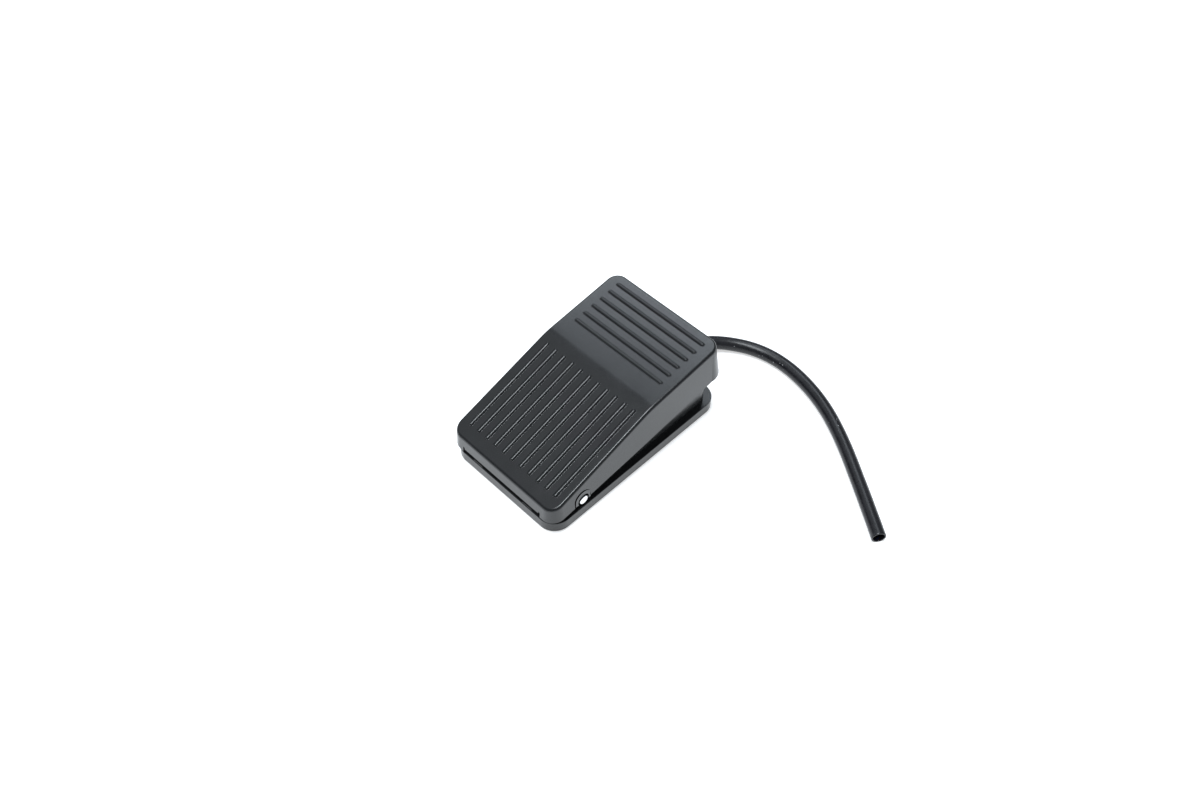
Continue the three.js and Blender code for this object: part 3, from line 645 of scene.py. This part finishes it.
def cover_cutters():
    """The windows in the sides, and the relief with its two slits in the front."""
    made = through_skirt(arch(EAR_WINDOW, EAR_WINDOW["radius"], 0))
    edge = skirt_edge(FRONT) + RELIEF["lift"]
    near, deep = FRONT - 3 * PAST, FRONT + WALL + PAST
    half, slit = RELIEF["half"], RELIEF["slit"]
    made.append(box((-half, near, 0), (half, deep, edge)))
    for low in (-half, half - slit):
        made.append(box((low, near, 0), (low + slit, deep, edge + RELIEF["slit_height"])))
    return made


def post(radius, low, high, x, y):
    """An upright round post with rounded edges."""
    profile = rounded_profile([(0, low), (radius, low), (radius, high), (0, high)], POST_ROUND)
    made = new_object("post", lathe("post", profile, sides=48))
    made.data.transform(Matrix.Translation((x * MM, y * MM, 0)))
    return made


def stiffener(x):
    """A rib along the underside of the top face."""
    span = [STIFFENER["front"], CREASE_Y - BLEND, CREASE_Y, CREASE_Y + BLEND, STIFFENER["rear"]]
    under = [(y, top_height(y) - TOP - STIFFENER["depth"]) for y in span]
    over = [(y, top_height(y) - TOP + PAST) for y in reversed(span)]
    return prism(under + over, x - STIFFENER["half"], x + STIFFENER["half"], "x")


def cover_fittings():
    """Tongues and ears for the pin, spring seats with their spigots, stiffeners and the press boss."""
    tongue = arch(EAR_WINDOW, EAR_WINDOW["radius"] + TONGUE["margin"], TONGUE["bottom"])
    ear = arch(EAR, EAR["radius"], EAR["bottom"])
    ceiling = top_height(SEAT["y"]) - TOP + PAST
    made = []
    for side in SIDES:
        low, high = sorted((side * TONGUE["outer"], side * TONGUE["inner"]))
        made.append(prism(tongue, low, high, "x"))
        low, high = sorted((side * EAR["face"], side * TONGUE["inner"]))
        made.append(prism(ear, low, high, "x"))
        made.append(post(SEAT["radius"], SEAT["bottom"], ceiling, side * SEAT["x"], SEAT["y"]))
        made.append(post(SEAT["spigot"], SEAT["tip"], ceiling, side * SEAT["x"], SEAT["y"]))
        made.append(stiffener(side * STIFFENER["x"]))
    over_switch = top_height(BOSS["y"]) - TOP + PAST
    made.append(post(BOSS["radius"], BOSS["bottom"], over_switch, 0, BOSS["y"]))
    return made


def make_cover():
    cover = new_object("pedal_cover_detailed", cover_shell())
    combine(cover, "DIFFERENCE", cover_cutters())
    combine(cover, "UNION", cover_fittings())
    holes = [prism(circle((PIN_Y, PIN_Z), PIN_HOLE), -OUTSIDE, OUTSIDE, "x")]
    holes += through_skirt(circle((EAR_BORE["y"], EAR_BORE["z"]), EAR_BORE["radius"]))
    for hole in holes:
        combine(cover, "DIFFERENCE", [hole])
    use(cover, COVER)
    shade(cover)
    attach(cover, "cover")
    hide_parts("pedal_cover")


make_cover()


# ---- base, pin and small parts ---------------------------------------------------------------

def refined(node, material, slot):
    """A welded copy of a CAD node with smooth shading over its curved faces."""
    same_place, flat = 2e-6, math.radians(0.5)
    source = frame["nodes"][node]
    work = bmesh.new()
    work.from_mesh(source.data)
    bmesh.ops.remove_doubles(work, verts=work.verts, dist=same_place)
    bmesh.ops.dissolve_limit(work, angle_limit=flat, verts=work.verts, edges=work.edges)
    mesh = bpy.data.meshes.new(node + "_detailed")
    work.to_mesh(mesh)
    work.free()
    piece = new_object(node + "_detailed", mesh)
    use(piece, material)
    shade(piece, angle=30)
    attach(piece, source["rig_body"])
    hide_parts(node)


def refine_small_parts():
    kinds = {
        "base_tray": (BASE, "base_plastic"),
        "microswitch_case": (PHENOLIC, "switch_plastic"),
        "microswitch_cover": (PHENOLIC, "switch_plastic"),
        "microswitch_plunger": (BUTTON, "plunger_plastic"),
        "snap_blade": (BRASS, "contact_brass"),
        "cable_clamp": (NYLON, "clamp_plastic"),
        "cable_jacket_inside": (JACKET, "cable_jacket"),
        "cable_grommet": (RUBBER, "rubber"),
        "wire_common": (WIRE_BLACK, "wire_black"),
        "wire_normally_open": (WIRE_BLUE, "wire_blue"),
        "wire_normally_closed": (WIRE_BROWN, "wire_brown"),
    }
    for node in frame["nodes"]:
        if node in kinds:
            refined(node, *kinds[node])
        elif "screw" in node:
            refined(node, STEEL, "steel")
        elif node.startswith("terminal"):
            refined(node, BRASS, "contact_brass")


refine_small_parts()


def make_pin():
    profile = [(0, -PIN_HALF), (PIN_RADIUS, -PIN_HALF), (PIN_RADIUS, PIN_HALF), (0, PIN_HALF)]
    rounded = rounded_profile(profile, PIN_ROUND)
    pin = new_object("hinge_pin_detailed", lathe("hinge_pin_detailed", rounded))
    place = Matrix.Translation((0, PIN_Y * MM, PIN_Z * MM))
    pin.data.transform(place @ Matrix.Rotation(math.pi / 2, 4, "Y"))
    use(pin, STEEL)
    shade(pin)
    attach(pin, "base")
    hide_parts("hinge_pin")


make_pin()


def make_feet():
    for node in [n for n in frame["nodes"] if n.startswith("rubber_foot")]:
        low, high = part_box(node)
        radius, height = (high.x - low.x) / 2 / MM, (high.z - low.z) / MM
        profile = [(0, 0), (radius, 0), (radius, height), (0, height)]
        rounded = rounded_profile(profile, FOOT_ROUND)
        foot = new_object(node + "_detailed", lathe(node + "_detailed", rounded))
        foot.data.transform(Matrix.Translation(((low.x + high.x) / 2, (low.y + high.y) / 2, low.z)))
        use(foot, RUBBER)
        shade(foot)
        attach(foot, "base")
        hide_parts(node)


make_feet()


# ---- springs ---------------------------------------------------------------------------------

def tube_faces(rings, sides):
    """Faces of a tube through rings of points, with both ends closed."""
    faces = [[i * sides + k, i * sides + (k + 1) % sides, (i + 1) * sides + (k + 1) % sides,
              (i + 1) * sides + k] for i in range(rings - 1) for k in range(sides)]
    return faces + [list(range(sides))[::-1], [(rings - 1) * sides + k for k in range(sides)]]


def coil_points(centre, steps, sides):
    """Rings of points round a helix about a vertical line."""
    points = []
    up = Vector((0, 0, 1))
    for i in range(steps + 1):
        t = i / steps
        angle = 2 * math.pi * SPRING["turns"] * t
        out = Vector((math.cos(angle), math.sin(angle), 0))
        at = centre + out * SPRING["mean"]
        at.z = SPRING["low"] + (SPRING["high"] - SPRING["low"]) * t
        for k in range(sides):
            a = 2 * math.pi * k / sides
            points.append(at + (out * math.cos(a) + up * math.sin(a)) * SPRING["wire"])
    return points


def make_springs():
    steps, sides = 220, 16
    for side, name in zip(SIDES, ("left", "right")):
        centre = Vector((side * SEAT["x"], SEAT["y"], 0))
        node = "return_spring_" + name
        points = coil_points(centre, steps, sides)
        mesh = mesh_from(node + "_detailed", points, tube_faces(steps + 1, sides))
        piece = new_object(node + "_detailed", mesh)
        use(piece, SPRING_STEEL)
        shade(piece, angle=50)
        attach(piece, "base")
        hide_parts(node)
        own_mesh(piece)


make_springs()


# ---- cable -----------------------------------------------------------------------------------

def smooth_route(route, per_span=8):
    """Points on a centripetal Catmull-Rom curve through the route."""
    points = [Vector(p) for p in route]
    points = [points[0] * 2 - points[1]] + points + [points[-1] * 2 - points[-2]]
    made = []
    for a, b, c, d in zip(points, points[1:], points[2:], points[3:]):
        t1 = (b - a).length ** 0.5
        t2 = t1 + (c - b).length ** 0.5
        t3 = t2 + (d - c).length ** 0.5
        for i in range(per_span):
            t = t1 + (t2 - t1) * i / per_span
            ab = a * ((t1 - t) / t1) + b * (t / t1)
            bc = b * ((t2 - t) / (t2 - t1)) + c * ((t - t1) / (t2 - t1))
            cd = c * ((t3 - t) / (t3 - t2)) + d * ((t - t2) / (t3 - t2))
            abc = ab * ((t2 - t) / t2) + bc * (t / t2)
            bcd = bc * ((t3 - t) / (t3 - t1)) + cd * ((t - t1) / (t3 - t1))
            made.append(abc * ((t2 - t) / (t2 - t1)) + bcd * ((t - t1) / (t2 - t1)))
    return made + [points[-2]]


def length_of(points):
    return sum((b - a).length for a, b in zip(points, points[1:]))


def cable_sections(path, heading):
    """Centres and radii along the cable: its run, its softened cut edge and the open end inside."""
    edge_steps = 4
    end = path[-1]
    sections = [(p, CABLE_RADIUS) for p in path[:-1]]
    for i in range(1, edge_steps + 1):
        a = math.pi / 2 * i / edge_steps
        back = CABLE_END["round"] * (1 - math.sin(a))
        sections.append((end - heading * back, CABLE_RADIUS - CABLE_END["round"] * (1 - math.cos(a))))
    inner = CABLE_END["inner"]
    sections.append((end, inner + CABLE_END["chamfer"]))
    sections.append((end - heading * CABLE_END["chamfer_depth"], inner))
    sections.append((end - heading * CABLE_END["depth"], inner))
    return sections


def cable_points(sections, tangents, sides):
    """Rings of points round the cable, and the length travelled at each ring."""
    up = Vector((0, 0, 1))
    points, along, travelled = [], [], 0.0
    for i, (at, radius) in enumerate(sections):
        side = tangents[i].cross(up).normalized()
        rise = side.cross(tangents[i]).normalized()
        for k in range(sides):
            a = 2 * math.pi * k / sides
            points.append(at + (side * math.cos(a) + rise * math.sin(a)) * radius)
        if i:
            travelled += (at - sections[i - 1][0]).length
        along.append(travelled)
    return points, along


def lay_out_around(mesh, along, sides):
    """UVs: u goes once round the cable, v is the length along it in mm."""
    layer = mesh.uv_layers.new(name="around")
    for face in mesh.polygons:
        wrapped = [mesh.loops[i].vertex_index % sides for i in face.loop_indices]
        turn = sides if 0 in wrapped and sides - 1 in wrapped else 0
        for i, w in zip(face.loop_indices, wrapped):
            level = mesh.loops[i].vertex_index // sides
            layer.data[i].uv = ((w + (turn if w == 0 else 0)) / sides, along[level])


def make_cable():
    sides = 40
    path = smooth_route(CABLE_ROUTE)
    heading = (path[-1] - path[-2]).normalized()
    sections = cable_sections(path, heading)
    tangents = [(path[i + 1] - path[max(i - 1, 0)]).normalized() for i in range(len(path) - 1)]
    tangents += [heading] * (len(sections) - len(tangents))
    points, along = cable_points(sections, tangents, sides)
    mesh = mesh_from("cable_jacket", points, tube_faces(len(sections), sides))
    lay_out_around(mesh, along, sides)
    cable = new_object("cable_jacket", mesh)
    use(cable, JACKET)
    shade(cable, angle=50)
    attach(cable, "base")
    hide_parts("cable")
    cores = make_cores(path[-1], heading)
    length_of(path) * MM


def core_profile():
    """An insulated wire's cut end: the insulation's rim with a shallow hollow in its middle."""
    radius, low, hole, floor = CORE["radius"], -CORE["length"], CORE["hole"], -CORE["hole_depth"]
    points = [(0, low), (radius, low), (radius, 0), (hole, 0), (hole, floor), (0, floor)]
    return rounded_profile(points, CORE["round"])


def make_cores(end, heading):
    """The cut ends of the three insulated wires, just inside the jacket."""
    made = []
    finish = (("brown", WIRE_BROWN, "wire_brown"), ("blue", WIRE_BLUE, "wire_blue"),
              ("black", WIRE_BLACK, "wire_black"))
    side = heading.cross(Vector((0, 0, 1))).normalized()
    rise = side.cross(heading)
    turn = Matrix((side, rise, heading)).transposed().to_4x4()
    for i, (name, material, slot) in enumerate(finish):
        a = math.radians(CORE["first_angle"] + 360 / len(finish) * i)
        core = new_object("cut_core_" + name, lathe("cut_core_" + name, core_profile(), sides=24))
        around = (side * math.cos(a) + rise * math.sin(a)) * CORE["offset"]
        place = end - heading * CORE["back"] + around
        core.data.transform(Matrix.Translation(place * MM) @ turn)
        use(core, material)
        shade(core)
        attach(core, "base")
        made.append(core)
    return made


make_cable()


# ---- floor and light -------------------------------------------------------------------------

def make_floor():
    n = Nodes("floor")
    n.shader.inputs["Base Color"].default_value = (0.86, 0.865, 0.875, 1)
    n.shader.inputs["Roughness"].default_value = 0.9
    n.shader.inputs["Specular IOR Level"].default_value = 0.1
    n.shader.inputs["Emission Color"].default_value = (1, 1, 1, 1)
    n.shader.inputs["Emission Strength"].default_value = 0.55
    sides, radius = 96, 4000
    points = [(x, y, 0) for x, y in circle((0, 0), radius, sides)]
    floor = new_object("floor", mesh_from("floor", points, [list(range(sides))]))
    use(floor, n.material)


def softbox(name, direction, distance, size, radiance, colour=(0.9, 0.955, 1.0)):
    """A rectangular light that faces the object: distance and size in metres, its first side level."""
    data = bpy.data.lights.new(name, "AREA")
    data.shape = "RECTANGLE"
    data.size, data.size_y = size
    data.energy = radiance * math.pi * size[0] * size[1]
    data.color = colour
    lamp = bpy.data.objects.new(name, data)
    away = Vector(direction).normalized()
    from_the_side = abs(away.x) > 0.5
    level = Vector((0, 1, 0)) if from_the_side else Vector((1, 0, 0))
    level = (level - away * level.dot(away)).normalized()
    turn = Matrix((level, away.cross(level), away)).transposed().to_4x4()
    lamp.matrix_world = Matrix.Translation(away * distance) @ turn
    lamp.visible_camera = False
    bpy.context.scene.collection.objects.link(lamp)


def make_light():
    world = bpy.data.worlds.new("studio")
    bpy.context.scene.world = world
    world.use_nodes = True
    background = world.node_tree.nodes["Background"]
    background.inputs["Color"].default_value = (0.88, 0.945, 1, 1)
    background.inputs["Strength"].default_value = 0.34
    softbox("strip", direction=(-0.02, -0.12, 0.99), distance=1.2, size=(0.3, 0.8), radiance=18.0)
    softbox("rear", direction=(-0.48, 0.42, 0.77), distance=1.4, size=(0.9, 0.5), radiance=3.9,
            colour=(0.84, 0.92, 1.0))
    softbox("left", direction=(-0.58, -0.25, 0.77), distance=1.4, size=(1.2, 0.8), radiance=0.5)
    bpy.context.scene.view_settings.view_transform = "Standard"


make_floor()
make_light()
